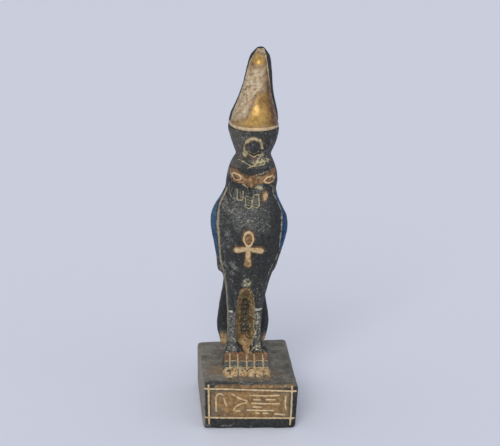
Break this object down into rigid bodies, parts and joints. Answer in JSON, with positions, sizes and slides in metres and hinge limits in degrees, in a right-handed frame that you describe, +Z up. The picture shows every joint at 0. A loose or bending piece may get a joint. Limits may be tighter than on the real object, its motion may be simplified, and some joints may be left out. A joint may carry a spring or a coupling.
{
  "type": "falcon statue",
  "caption": "Upright stone falcon in a tall double crown, carved in one block with its plinth, with folded wings, looped cross on the breast and a framed front panel.",
  "frame": {"origin": "on the plinth's flat underside, 2 mm ahead of its centre", "axes": "+Z up, the falcon faces -Y, and +X is to the right of someone who looks at its face"},
  "size_m": [0.0592, 0.0821, 0.228],
  "materials": {
    "dark_stone": "worn matte paint over pale limestone"
  },
  "bodies": {
    "root": {"falcon_statue": "dark_stone"}
  },
  "joints": []
}
